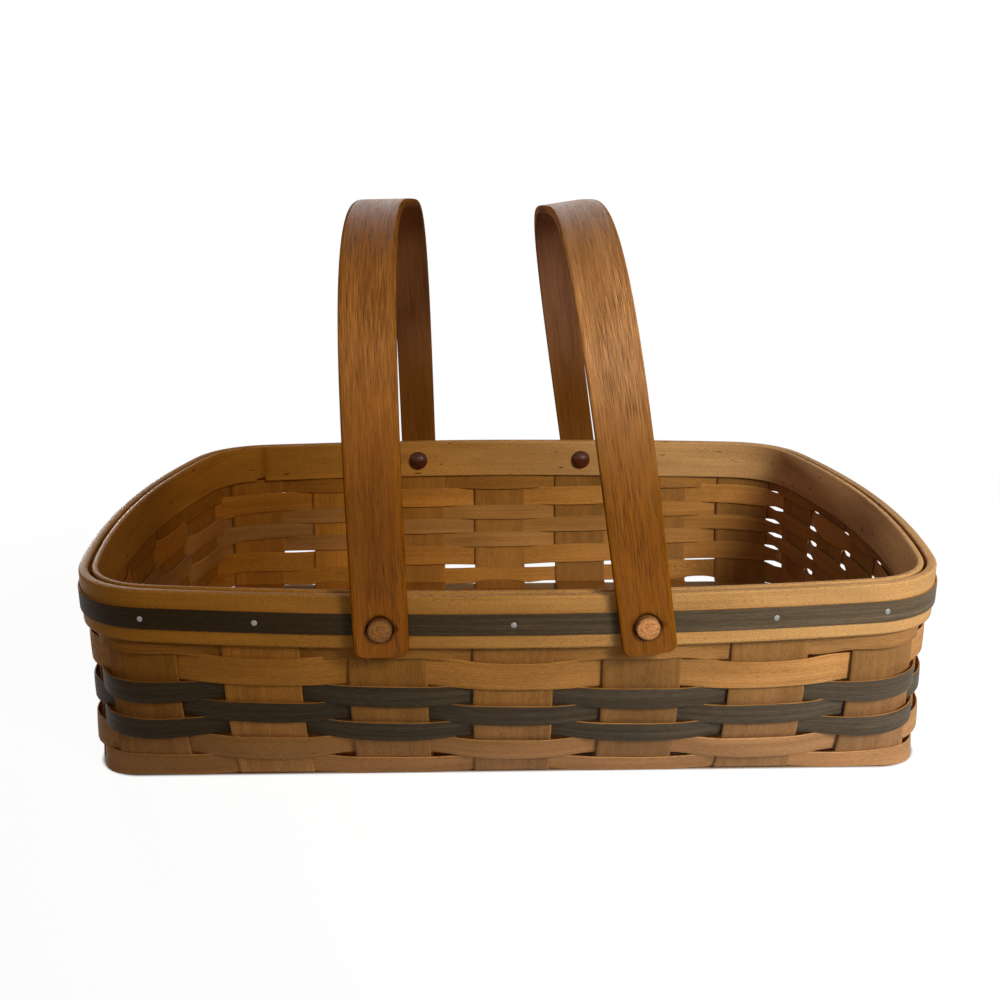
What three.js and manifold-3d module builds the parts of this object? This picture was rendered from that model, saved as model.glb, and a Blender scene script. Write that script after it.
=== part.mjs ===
// Woven wood basket: splints woven with flat weavers, clamped by two bentwood bands,
// with two arched handles that swing on wooden pegs.
// Millimetres, +Z up. The origin is on the ground under the middle of the basket.
// +X runs along the length, and the front wall faces -Y.

import * as THREE from 'three';
import { mergeVertices } from 'three/addons/utils/BufferGeometryUtils.js';
import Module from 'manifold-3d';

// Rim: the outer face of the outer band, seen from above
const rimLength = 457;
const rimWidth = 330;
const rimSideBow = 19;
const rimEndBow = 25;
const rimCornerReach = 32;

// Base: the middle of the wall's thickness where it meets the bottom
const baseLength = 425;
const baseWidth = 272;
const baseCornerReach = 24;
const bendRadius = 1.5;

// Splints
const crossSplintCount = 7;
const longSplintCount = 5;
const splintWidth = 38;
const splintThickness = 1;
const crossCornerMargin = 11.5;
const longCornerMargin = 15;
const splintTopDrop = 1.5;

// Weavers, from the top row down
const weaverThickness = 0.8;
const topRowHeight = 13;
const wideRowHeight = 13;
const stainedRowHeight = 9.8;
const lowerRowHeight = 12;
const bottomRowHeight = 8.6;
const rowGap = 0.4;
const bottomRowGap = 2.4;
const bottomRowLap = 0.5;
const weaverCrown = 1.1;
const clampedCrown = 0.15;
const weaveClearance = 0.25;

// Bands, trim and tacks
const bandHeight = 26;
const innerBandThickness = 1.9;
const outerBandThickness = 3.5;
const bandClearance = 0.2;
const bandAboveTopRow = 23.3;
const trimHeight = 10.8;
const trimThickness = 1;
const trimClearance = 0.15;
const tackHeadRadius = 1.5;
const tackHeadHeight = 0.6;
const tackHeadEdge = 0.3;
const tackShankRadius = 0.6;
const tackTipDepth = 1.2;
const cornerTackInset = 6.5;
const tackClearance = 0.25;

// Handles and pegs
const handleWidth = 25.4;
const handleThickness = 4.2;
const handleHeight = 189;
const handleSquareness = 4;
const handleTail = 14;
const handleTailCorner = 4.5;
const handleEdgeRound = 1;
const handleClearance = 0.4;
const leftLeanDegrees = -1;
const rightLeanDegrees = -8.4;
const pegDrop = 13.5;
const pegRadius = 5.6;
const pegProud = 3;
const pegHeadRadius = 6.8;
const pegHeadHeight = 4.4;
const pegChamfer = 0.6;
const pegTurningClearance = 0.25;
const pegGlueGap = 0.15;
const seatGap = 0.15;

// Fineness of the faceted shapes
const cornerSteps = 4;
const archSteps = 32;
const domeSteps = 4;
const pegSides = 16;
const tackSides = 6;
const bendSteps = 2;
const tailCornerSteps = 5;
const cornerPasses = 20;
const weldDistance = 1e-4;

// Sizes that follow from the driving dimensions
const rowHeights = [
  topRowHeight, wideRowHeight, stainedRowHeight, stainedRowHeight, stainedRowHeight,
  lowerRowHeight, bottomRowHeight,
];
const layStep = (splintThickness + weaveClearance) / 2;
const bottomMiddle = layStep + splintThickness / 2;
const bendTop = bottomMiddle + bendRadius;
const bottomRowStart = bendTop - bottomRowLap;
const gapBelow = (row) => (row === rowHeights.length - 2 ? bottomRowGap : rowGap);
const rowLows = rowHeights.map((height, row) => {
  let low = bottomRowStart;
  for (let lower = rowHeights.length - 1; lower > row; lower -= 1) {
    low += rowHeights[lower] + gapBelow(lower - 1);
  }
  return low;
});
const uprightFrom = rowLows[0];
const rimHeight = rowLows[0] + topRowHeight + bandAboveTopRow;
const bandLow = rimHeight - bandHeight;
const splintTop = rimHeight - splintTopDrop;
const pivotHeight = rimHeight - pegDrop;
const edgeLift = splintThickness / 2 + weaverThickness / 2 + weaveClearance;
const bandReach = edgeLift + clampedCrown + weaverThickness / 2 + bandClearance;
const innerFace = -bandReach - innerBandThickness;
const outerFace = bandReach + outerBandThickness;
const trimBack = outerFace + trimClearance;
const trimFace = trimBack + trimThickness;
const tackTip = -bandReach - tackTipDepth;
const tackLength = trimFace + seatGap - tackTip;
const pegHoleRadius = pegRadius + pegTurningClearance;

const vector = (x, y, z) => new THREE.Vector3(x, y, z);
const DOWN = vector(0, 0, -1);

// A quarter of a bowed rectangle with rounded corners, from the front middle to the right end middle
function quarterOutline(halfLength, halfWidth, endBow, sideBow, cornerReach) {
  const sideAt = (x) => halfWidth - sideBow * (x / halfLength) ** 2;
  const endAt = (y) => halfLength - endBow * (y / halfWidth) ** 2;
  let cornerX = halfLength;
  for (let pass = 0; pass < cornerPasses; pass += 1) cornerX = endAt(sideAt(cornerX));
  const sideX = cornerX - cornerReach;
  const sideY = sideAt(sideX);
  const endY = sideAt(cornerX) - cornerReach;
  const endX = endAt(endY);
  const sideSlope = (2 * sideBow * sideX) / halfLength ** 2;
  const endSlope = (2 * endBow * endY) / halfWidth ** 2;
  const run = (endX - sideX - endSlope * (sideY - endY)) / (1 - sideSlope * endSlope);
  const flat = (x, y) => new THREE.Vector2(x, y);
  const sideEnd = flat(sideX, -sideY);
  const corner = flat(sideX + run, run * sideSlope - sideY);
  const endStart = flat(endX, -endY);
  const path = new THREE.CurvePath();
  path.add(new THREE.QuadraticBezierCurve(flat(0, -halfWidth), flat(sideX / 2, -halfWidth), sideEnd));
  path.add(new THREE.QuadraticBezierCurve(sideEnd, corner, endStart));
  path.add(new THREE.QuadraticBezierCurve(endStart, flat(halfLength, -endY / 2), flat(halfLength, 0)));
  return path;
}

const baseQuarter = quarterOutline(baseLength / 2, baseWidth / 2, 0, 0, baseCornerReach);
const rimQuarter = quarterOutline(
  rimLength / 2 - outerFace, rimWidth / 2 - outerFace, rimEndBow, rimSideBow, rimCornerReach,
);
const quarterLength = baseQuarter.getLength();

// Point of an outline at a turn: 0 front middle, 1 right middle, 2 back middle, 3 left middle
function outlinePoint(quarter, turn) {
  const wrapped = ((turn % 4) + 4) % 4;
  const index = Math.floor(wrapped);
  const along = wrapped - index;
  const spot = quarter.getPoint(index % 2 === 0 ? along : 1 - along);
  const mirrorX = index < 2 ? 1 : -1;
  const mirrorY = index === 0 || index === 3 ? 1 : -1;
  return vector(spot.x * mirrorX, spot.y * mirrorY, 0);
}

// The middle surface of the wall: it curves outward from the base and is upright from the top row on
function wallPoint(turn, height) {
  const below = Math.max(0, 1 - height / uprightFrom);
  const spot = outlinePoint(rimQuarter, turn).lerp(outlinePoint(baseQuarter, turn), below ** 2);
  return spot.setZ(height);
}

function wallNormal(turn, height) {
  const step = 1e-3;
  const along = wallPoint(turn + step, height).sub(wallPoint(turn - step, height));
  const rise = wallPoint(turn, height + step).sub(wallPoint(turn, height - step));
  return along.cross(rise).normalize();
}

const wallOffset = (turn, height, offset) =>
  wallPoint(turn, height).addScaledVector(wallNormal(turn, height), offset);

// Columns: where each splint stands in the wall, in order round the basket from the front left
const crossPitch = (baseLength / 2 - crossCornerMargin - splintWidth / 2) / ((crossSplintCount - 1) / 2);
const longPitch = (baseWidth / 2 - longCornerMargin - splintWidth / 2) / ((longSplintCount - 1) / 2);
const halfTurn = splintWidth / 2 / quarterLength;

function sideColumns(side) {
  const isLongSide = side % 2 === 0;
  const count = isLongSide ? crossSplintCount : longSplintCount;
  const pitch = isLongSide ? crossPitch : longPitch;
  const columns = [];
  for (let place = 0; place < count; place += 1) {
    columns.push({ side, place, turn: side + ((place - (count - 1) / 2) * pitch) / quarterLength });
  }
  return columns;
}

const columns = [0, 1, 2, 3].flatMap(sideColumns);

// Stations: the turns where every hoop has a section, with the side of the wall a weaver is on
function columnStations(column, index) {
  const sign = index % 2 === 0 ? 1 : -1;
  const next = columns[index + 1] ?? { ...columns[0], side: 4, turn: columns[0].turn + 4 };
  const stations = [
    { turn: column.turn - halfTurn, sign, crown: 0 },
    { turn: column.turn, sign, crown: 1 },
    { turn: column.turn + halfTurn, sign, crown: 0 },
  ];
  if (next.side === column.side) return stations;
  const from = column.turn + halfTurn;
  const span = next.turn - halfTurn - from;
  for (let step = 1; step < cornerSteps; step += 1) {
    const share = step / cornerSteps;
    stations.push({ turn: from + span * share, sign: sign * (1 - 2 * share), crown: 0 });
  }
  return stations;
}

const hoopStations = columns.flatMap(columnStations);

// Faceted solids from rows of section points
function orientOutward(positions, triangles) {
  let volume = 0;
  const corner = (index) => vector(...positions[index]);
  for (const [a, b, c] of triangles) volume += corner(a).dot(corner(b).cross(corner(c)));
  return volume > 0 ? triangles : triangles.map(([a, b, c]) => [a, c, b]);
}

function solidGeometry(positions, triangles) {
  const geometry = new THREE.BufferGeometry();
  geometry.setAttribute('position', new THREE.Float32BufferAttribute(positions.flat(), 3));
  geometry.setIndex(orientOutward(positions, triangles).flat());
  geometry.computeVertexNormals();
  return geometry;
}

// Each section lists its outer points in order and then its inner points in reverse order
function loft(sections, closed) {
  const ring = sections[0].length;
  const positions = sections.flat().map((point) => point.toArray());
  const triangles = [];
  const quad = (a, b, c, d) => triangles.push([a, b, c], [a, c, d]);
  const last = closed ? sections.length : sections.length - 1;
  for (let row = 0; row < last; row += 1) {
    const here = row * ring;
    const there = ((row + 1) % sections.length) * ring;
    for (let side = 0; side < ring; side += 1) {
      const next = (side + 1) % ring;
      quad(here + side, here + next, there + next, there + side);
    }
  }
  if (!closed) {
    const end = (sections.length - 1) * ring;
    for (let side = 0; side < ring / 2 - 1; side += 1) {
      const across = ring - 1 - side;
      quad(side, across, across - 1, side + 1);
      quad(end + side, end + side + 1, end + across - 1, end + across);
    }
  }
  return solidGeometry(positions, triangles);
}

const bandSection = (turn, low, high, inner, outer) => [
  wallOffset(turn, low, outer),
  wallOffset(turn, high, outer),
  wallOffset(turn, high, inner),
  wallOffset(turn, low, inner),
];

// Cuts
const wasm = await Module();
wasm.setup();

function toSolid(source) {
  const plain = source.clone();
  plain.deleteAttribute('normal');
  plain.deleteAttribute('uv');
  const merged = mergeVertices(plain, weldDistance);
  return new wasm.Manifold(new wasm.Mesh({
    numProp: 3,
    vertProperties: new Float32Array(merged.attributes.position.array),
    triVerts: new Uint32Array(merged.index.array),
  }));
}

function toGeometry(solid) {
  const mesh = solid.getMesh();
  const geometry = new THREE.BufferGeometry();
  geometry.setAttribute('position', new THREE.Float32BufferAttribute(mesh.vertProperties, 3));
  geometry.setIndex(Array.from(mesh.triVerts));
  geometry.computeVertexNormals();
  return geometry;
}

const drill = (geometry, cutters) =>
  toGeometry(cutters.reduce((solid, cutter) => solid.subtract(cutter), toSolid(geometry)));

function roundCutter(radius, sides, start, end) {
  const direction = end.clone().sub(start);
  const cylinder = new THREE.CylinderGeometry(radius, radius, direction.length(), sides);
  const turn = new THREE.Quaternion().setFromUnitVectors(vector(0, 1, 0), direction.normalize());
  cylinder.applyQuaternion(turn);
  const middle = start.clone().lerp(end, 0.5);
  cylinder.translate(...middle.toArray());
  return toSolid(cylinder);
}

// Splints: flat strips that stand in one wall, cross the bottom and stand in the opposite wall
const strip = (frames) => {
  const shifted = (offset) =>
    frames.map(({ point, normal }) => point.clone().addScaledVector(normal, offset));
  return [...shifted(splintThickness / 2), ...shifted(-splintThickness / 2).reverse()];
};

const wallStrip = (turns, height) => strip(turns.map((turn) => (
  { point: wallPoint(turn, height), normal: wallNormal(turn, height) })));

function bendStrip(turns, angle) {
  return strip(turns.map((turn) => {
    const out = wallNormal(turn, bendTop);
    const normal = out.clone().multiplyScalar(Math.cos(angle)).addScaledVector(DOWN, Math.sin(angle));
    normal.normalize();
    const inward = out.clone().setZ(0).normalize();
    const point = wallPoint(turn, bendTop).addScaledVector(inward, bendRadius * (Math.cos(angle) - 1));
    point.z -= bendRadius * Math.sin(angle);
    return { point, normal };
  }));
}

const bendAngles = Array.from({ length: bendSteps }, (_, step) => ((step + 1) / bendSteps) * (Math.PI / 2));
const wallLevels = [splintTop, ...rowLows.slice(0, -1), bendTop];

// crossings: for each splint crossed on the bottom, its two edges and whether this one passes above it
function splintGeometry(startTurns, endTurns, axis, crossings) {
  const climb = (turns) => [
    ...wallLevels.map((height) => wallStrip(turns, height)),
    ...bendAngles.map((angle) => bendStrip(turns, angle)),
  ];
  const lines = startTurns.map((turn) => wallPoint(turn, bendTop));
  const floor = crossings.flatMap(({ edges, above }) => edges.map((place) => strip(lines.map((line) => {
    const point = line.clone().setComponent(axis, place);
    point.z = bottomMiddle + (above ? layStep : -layStep);
    return { point, normal: DOWN };
  }))));
  return loft([...climb(startTurns), ...floor, ...climb(endTurns).reverse()], false);
}

const edgesOf = (turns, axis) =>
  [turns[0], turns[2]].map((turn) => wallPoint(turn, bendTop).getComponent(axis));
const threeTurns = (turn, way) => [turn - way * halfTurn, turn, turn + way * halfTurn];

const crossTurns = Array.from({ length: crossSplintCount }, (_, index) => {
  const shift = ((index - (crossSplintCount - 1) / 2) * crossPitch) / quarterLength;
  return { front: threeTurns(shift, 1), back: threeTurns(2 - shift, -1) };
});
const longTurns = Array.from({ length: longSplintCount }, (_, index) => {
  const shift = ((index - (longSplintCount - 1) / 2) * longPitch) / quarterLength;
  return { right: threeTurns(1 + shift, 1), left: threeTurns(3 - shift, -1) };
});

function crossSplint(index) {
  const crossings = longTurns.map(({ right }, other) => (
    { edges: edgesOf(right, 1), above: (index + other) % 2 === 0 }));
  return splintGeometry(crossTurns[index].front, crossTurns[index].back, 1, crossings);
}

function longSplint(index) {
  const crossings = crossTurns.map(({ front }, other) => (
    { edges: edgesOf(front, 0), above: (index + other) % 2 === 1 }));
  return splintGeometry(longTurns[index].left, longTurns[index].right, 0, crossings);
}

// Weavers: one hoop a row, outside every other splint
function weaver(row) {
  const rowSign = row % 2 === 0 ? 1 : -1;
  const low = rowLows[row];
  const crown = row === 0 ? clampedCrown : weaverCrown;
  return loft(hoopStations.map((station) => {
    const lift = rowSign * station.sign * (edgeLift + station.crown * crown);
    const half = weaverThickness / 2;
    return bandSection(station.turn, low, low + rowHeights[row], lift - half, lift + half);
  }), true);
}

const band = (inner, outer) =>
  loft(hoopStations.map(({ turn }) => bandSection(turn, bandLow, rimHeight, inner, outer)), true);

// Pegs stand in the splints on either side of the middle one
const pegPlaces = [(crossSplintCount - 1) / 2 - 1, (crossSplintCount - 1) / 2 + 1];
const pegColumns = pegPlaces.flatMap((place) => [crossTurns[place].front[1], crossTurns[place].back[1]]);
const pivotX = wallPoint(crossTurns[pegPlaces[1]].front[1], pivotHeight).x;
const trimGap = (pegHoleRadius + trimClearance) / rimQuarter.getLength();

// Trim: a strip between each two neighbouring pegs
function trimStrip(fromTurn, toTurn) {
  const start = fromTurn + trimGap;
  const end = toTurn - trimGap;
  const inside = [0, 4].flatMap((round) => hoopStations.map(({ turn }) => turn + round))
    .filter((turn) => turn > start && turn < end);
  const low = pivotHeight - trimHeight / 2;
  const sections = [start, ...inside, end].map((turn) =>
    bandSection(turn, low, low + trimHeight, trimBack, trimFace));
  return loft(sections, false);
}

const [leftFront, leftBack, rightFront, rightBack] = pegColumns;
const trimStrips = [
  ['front_trim', leftFront, rightFront],
  ['right_trim', rightFront, rightBack],
  ['back_trim', rightBack, leftBack],
  ['left_trim', leftBack, leftFront + 4],
];

// Tacks: one in every splint of the long sides that has no peg, and in every other end splint.
// In the corner splints of the long sides they are nearer the middle of the side.
const isPegged = ({ side, place }) => side % 2 === 0 && pegPlaces.includes(place);
const isTacked = (column) => !isPegged(column) && (column.side % 2 === 0 || column.place % 2 === 0);
const cornerTackWay = ({ side, place }) => {
  if (side % 2 === 1) return 0;
  return Number(place === 0) - Number(place === crossSplintCount - 1);
};
const tackTurns = columns.filter(isTacked).map(
  (column) => column.turn + (cornerTackWay(column) * cornerTackInset) / quarterLength,
);

function tackGeometry() {
  const profile = [
    [0, 0], [tackShankRadius, 0], [tackShankRadius, tackLength], [tackHeadRadius, tackLength],
    [tackHeadRadius, tackLength + tackHeadEdge], [0, tackLength + tackHeadHeight],
  ];
  return new THREE.LatheGeometry(profile.map(([x, y]) => new THREE.Vector2(x, y)), tackSides);
}

const tackCutters = tackTurns.map((turn) => {
  const start = wallOffset(turn, pivotHeight, tackTip - tackClearance);
  const end = wallOffset(turn, pivotHeight, trimFace + tackHeadRadius);
  return roundCutter(tackShankRadius + tackClearance, tackSides, start, end);
});

const pegCutters = [-1, 1].map((way) => roundCutter(
  pegHoleRadius, pegSides,
  vector(way * pivotX, -rimWidth, pivotHeight), vector(way * pivotX, rimWidth, pivotHeight),
));
const rimCutters = [...pegCutters, ...tackCutters];

// Handles: a bent strip over a squared arch, in the handle's own frame with the pivot line along Y
const sideFace = (x) => {
  const half = rimLength / 2 - outerFace;
  return rimWidth / 2 - outerFace - rimSideBow * (x / half) ** 2;
};
const tailReach = Math.hypot(handleWidth / 2, handleTail);
const handleInner = sideFace(pivotX - tailReach) + trimFace + handleClearance;
const handleOuter = handleInner + handleThickness;

class HandleArch extends THREE.Curve {
  getPoint(share, target = new THREE.Vector2()) {
    const angle = Math.PI * (1 - share);
    const power = 2 / handleSquareness;
    const across = Math.sign(Math.cos(angle)) * Math.abs(Math.cos(angle)) ** power;
    const up = Math.max(0, Math.sin(angle)) ** power;
    return target.set(across * handleOuter, up * handleHeight);
  }
}

function archOutline() {
  const outer = new HandleArch().getSpacedPoints(archSteps);
  const inner = outer.map((point, index) => {
    const before = outer[Math.max(0, index - 1)];
    const after = outer[Math.min(archSteps, index + 1)];
    const along = after.clone().sub(before).normalize();
    return new THREE.Vector2(point.x + along.y * handleThickness, point.y - along.x * handleThickness);
  });
  inner[0].set(-handleInner, 0);
  inner[archSteps].set(handleInner, 0);
  const foot = (x) => new THREE.Vector2(x, -handleTail);
  const inside = [foot(handleInner), ...inner.reverse(), foot(-handleInner)];
  return [foot(-handleOuter), ...outer, foot(handleOuter), ...inside];
}

// Turns a shape drawn in Y and Z, and extruded along X, into the handle's frame
const alongX = new THREE.Matrix4().makeBasis(vector(0, 1, 0), vector(0, 0, 1), vector(1, 0, 0));
// Turns a shape drawn in X and Z, and extruded along -Y, into the handle's frame
const alongY = new THREE.Matrix4().makeBasis(vector(1, 0, 0), vector(0, 0, 1), vector(0, -1, 0));

function legOutline() {
  const flank = handleWidth / 2;
  const beyond = flank + handleEdgeRound;
  const top = handleHeight * 2;
  const cornerLine = handleTailCorner - handleTail;
  const cornerX = flank - handleTailCorner;
  const outline = new THREE.Shape();
  outline.moveTo(-beyond, top);
  outline.lineTo(-beyond, cornerLine);
  outline.lineTo(-flank, cornerLine);
  outline.absarc(-cornerX, cornerLine, handleTailCorner, Math.PI, Math.PI * 1.5);
  outline.absarc(cornerX, cornerLine, handleTailCorner, Math.PI * 1.5, Math.PI * 2);
  outline.lineTo(beyond, cornerLine);
  outline.lineTo(beyond, top);
  return outline;
}

function handleGeometry() {
  const arch = new THREE.ExtrudeGeometry(new THREE.Shape(archOutline()), {
    depth: handleWidth - 2 * handleEdgeRound,
    bevelEnabled: true,
    bevelThickness: handleEdgeRound,
    bevelSize: handleEdgeRound,
    bevelOffset: -handleEdgeRound,
    bevelSegments: 1,
  });
  arch.translate(0, 0, handleEdgeRound - handleWidth / 2).applyMatrix4(alongX);
  const depth = handleOuter * 4;
  const legs = new THREE.ExtrudeGeometry(legOutline(), {
    depth,
    bevelEnabled: false,
    curveSegments: tailCornerSteps,
  });
  legs.translate(0, 0, -depth / 2).applyMatrix4(alongY);
  const bore = roundCutter(
    pegRadius + pegGlueGap, pegSides, vector(0, -handleOuter * 2, 0), vector(0, handleOuter * 2, 0),
  );
  return toGeometry(toSolid(arch).intersect(toSolid(legs)).subtract(bore));
}

// Pegs: a domed head on the inner band and a shank out through the handle leg, turned about +Y
const pegSeat = sideFace(pivotX + pegHeadRadius) + innerFace - seatGap;
const pegEnd = handleOuter + pegProud;

function pegGeometry() {
  const dome = Array.from({ length: domeSteps + 1 }, (_, step) => {
    const angle = (step / domeSteps) * (Math.PI / 2);
    return [pegHeadRadius * Math.sin(angle), pegSeat - pegHeadHeight * Math.cos(angle)];
  });
  const profile = [
    ...dome, [pegRadius, pegSeat],
    [pegRadius, pegEnd - pegChamfer], [pegRadius - pegChamfer, pegEnd], [0, pegEnd],
  ];
  return new THREE.LatheGeometry(profile.map(([x, y]) => new THREE.Vector2(x, y)), pegSides);
}

// Finishes
const finish = (color, roughness, metalness) =>
  new THREE.MeshStandardMaterial({ color, roughness, metalness });
const naturalWood = finish(0xb9803f, 0.55, 0);
const stainedWood = finish(0x3a3b33, 0.6, 0);
const bandWood = finish(0xc08a48, 0.5, 0);
const handleWood = finish(0x8f5420, 0.45, 0);
const pegWood = finish(0x8a5632, 0.4, 0);
const tackMetal = finish(0xb8b8b2, 0.35, 0.9);

// Assembly
const basket = new THREE.Group();
basket.name = 'woven_wood_basket';

function addPiece(parent, name, geometry, material) {
  const mesh = new THREE.Mesh(geometry, material);
  mesh.name = name;
  parent.add(mesh);
  return mesh;
}

for (let index = 0; index < crossSplintCount; index += 1) {
  addPiece(basket, `cross_splint_${index + 1}`, drill(crossSplint(index), rimCutters), naturalWood);
}
for (let index = 0; index < longSplintCount; index += 1) {
  addPiece(basket, `long_splint_${index + 1}`, drill(longSplint(index), rimCutters), naturalWood);
}
rowHeights.forEach((height, row) => {
  const stained = height === stainedRowHeight;
  const geometry = row === 0 ? drill(weaver(row), rimCutters) : weaver(row);
  addPiece(basket, `weaver_row_${row + 1}`, geometry, stained ? stainedWood : naturalWood);
});
addPiece(basket, 'inner_band', drill(band(innerFace, -bandReach), rimCutters), bandWood);
addPiece(basket, 'outer_band', drill(band(bandReach, outerFace), rimCutters), bandWood);
for (const [name, fromTurn, toTurn] of trimStrips) {
  addPiece(basket, name, drill(trimStrip(fromTurn, toTurn), tackCutters), stainedWood);
}

tackTurns.forEach((turn, index) => {
  const tack = addPiece(basket, `tack_${index + 1}`, tackGeometry(), tackMetal);
  tack.position.copy(wallOffset(turn, pivotHeight, tackTip));
  tack.quaternion.setFromUnitVectors(vector(0, 1, 0), wallNormal(turn, pivotHeight));
});

for (const [side, way, lean] of [['left', -1, leftLeanDegrees], ['right', 1, rightLeanDegrees]]) {
  const swing = new THREE.Group();
  swing.position.set(way * pivotX, 0, pivotHeight);
  swing.rotation.y = THREE.MathUtils.degToRad(lean);
  addPiece(swing, `${side}_handle`, handleGeometry(), handleWood);
  addPiece(swing, `${side}_back_peg`, pegGeometry(), pegWood);
  addPiece(swing, `${side}_front_peg`, pegGeometry(), pegWood).rotation.z = Math.PI;
  basket.add(swing);
}

export default basket;
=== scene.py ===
import math

import bpy
import numpy as np
from mathutils import Matrix, Vector


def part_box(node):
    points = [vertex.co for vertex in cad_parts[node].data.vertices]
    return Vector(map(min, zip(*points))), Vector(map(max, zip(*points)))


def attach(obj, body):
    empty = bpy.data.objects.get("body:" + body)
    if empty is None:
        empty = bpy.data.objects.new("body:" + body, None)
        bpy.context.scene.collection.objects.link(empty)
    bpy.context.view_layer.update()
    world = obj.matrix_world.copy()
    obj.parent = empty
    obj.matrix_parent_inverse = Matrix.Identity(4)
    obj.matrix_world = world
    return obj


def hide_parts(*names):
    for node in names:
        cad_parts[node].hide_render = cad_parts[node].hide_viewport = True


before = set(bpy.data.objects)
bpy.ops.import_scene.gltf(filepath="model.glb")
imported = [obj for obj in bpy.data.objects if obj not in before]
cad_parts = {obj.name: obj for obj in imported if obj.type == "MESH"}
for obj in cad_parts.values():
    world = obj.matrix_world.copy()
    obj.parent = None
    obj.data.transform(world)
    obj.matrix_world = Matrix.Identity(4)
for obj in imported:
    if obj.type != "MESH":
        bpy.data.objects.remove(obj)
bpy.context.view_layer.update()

# Woven wood basket with two swing handles: fine meshes and wood finishes in place of plain solids.
# Lengths are millimetres until a mesh is made. A turn goes round the wall: 0 is the front middle,
# 1 the right end middle, 2 the back middle and 3 the left end middle.

MILLIMETRE = 0.001
rng = np.random.default_rng(7)

# Rim and base, seen from above
RIM_LENGTH = 457
RIM_WIDTH = 330
RIM_SIDE_BOW = 19
RIM_END_BOW = 25
RIM_CORNER_REACH = 32
BASE_LENGTH = 425
BASE_WIDTH = 272
BASE_CORNER_REACH = 24
BEND_RADIUS = 1.5

# Splints
CROSS_COUNT = 7
LONG_COUNT = 5
SPLINT_WIDTH = 38
SPLINT_THICKNESS = 1
CROSS_CORNER_MARGIN = 11.5
LONG_CORNER_MARGIN = 15
SPLINT_TOP_DROP = 1.5

# Weavers, from the top row down
ROW_HEIGHTS = [13, 13, 9.8, 9.8, 9.8, 12, 8.6]
STAINED_ROWS = [2, 3, 4]
ROW_GAP = 0.4
BOTTOM_ROW_GAP = 2.4
BOTTOM_ROW_LAP = 0.5
WEAVER_THICKNESS = 0.8
WEAVE_CLEARANCE = 0.25
WEAVER_LIFT = 2.3
CLAMPED_LIFT = 1.3
BOTTOM_LIFT = 1.1
WEAVER_CUPPING = 0.2
EDGE_TUCK = 0.4
EDGE_SPREAD = 0.5

# Bands, trim and tacks
BAND_HEIGHT = 26
INNER_BAND_THICKNESS = 1.9
OUTER_BAND_THICKNESS = 3.5
BAND_REACH = 1.9
BAND_ABOVE_TOP_ROW = 23.3
TRIM_HEIGHT = 10.8
TRIM_THICKNESS = 1
TRIM_CLEARANCE = 0.15
TACK_RADIUS = 1.45
TACK_DOME = 0.5
TACK_DEPTH = 4
CORNER_TACK_INSET = 6.5

# Handles and pegs
HANDLE_WIDTH = 25.4
HANDLE_THICKNESS = 4.2
HANDLE_HEIGHT = 189
HANDLE_SQUARENESS = 4
HANDLE_TAIL = 14
HANDLE_TAIL_CORNER = 4.5
HANDLE_EDGE_ROUND = 1
LEAN_DEGREES = {"left": -1, "right": -8.4}
PEG_DROP = 13.5
PEG_RADIUS = 5.6
PEG_HOLE_RADIUS = 6.1
PEG_HEAD_RADIUS = 6.8
PEG_HEAD_HEIGHT = 4.4

# Sizes that follow from the driving dimensions
LAY_STEP = (SPLINT_THICKNESS + WEAVE_CLEARANCE) / 2
BOTTOM_MIDDLE = LAY_STEP + SPLINT_THICKNESS / 2
BEND_TOP = BOTTOM_MIDDLE + BEND_RADIUS


def row_lows():
    lows = [BEND_TOP - BOTTOM_ROW_LAP]
    for row in range(len(ROW_HEIGHTS) - 1, 0, -1):
        gap = BOTTOM_ROW_GAP if row == len(ROW_HEIGHTS) - 1 else ROW_GAP
        lows.insert(0, lows[0] + ROW_HEIGHTS[row] + gap)
    return lows


ROW_LOWS = row_lows()
UPRIGHT_FROM = ROW_LOWS[0]
RIM_HEIGHT = ROW_LOWS[0] + ROW_HEIGHTS[0] + BAND_ABOVE_TOP_ROW
BAND_LOW = RIM_HEIGHT - BAND_HEIGHT
SPLINT_TOP = RIM_HEIGHT - SPLINT_TOP_DROP
PIVOT_HEIGHT = RIM_HEIGHT - PEG_DROP
INNER_FACE = -BAND_REACH - INNER_BAND_THICKNESS
OUTER_FACE = BAND_REACH + OUTER_BAND_THICKNESS
TRIM_FACE = OUTER_FACE + TRIM_CLEARANCE + TRIM_THICKNESS


# The wall's middle surface
def path_lengths(points, closed=False):
    if closed:
        points = np.vstack([points, points[:1]])
    return np.concatenate([[0], np.cumsum(np.linalg.norm(np.diff(points, axis=0), axis=1))])


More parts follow.
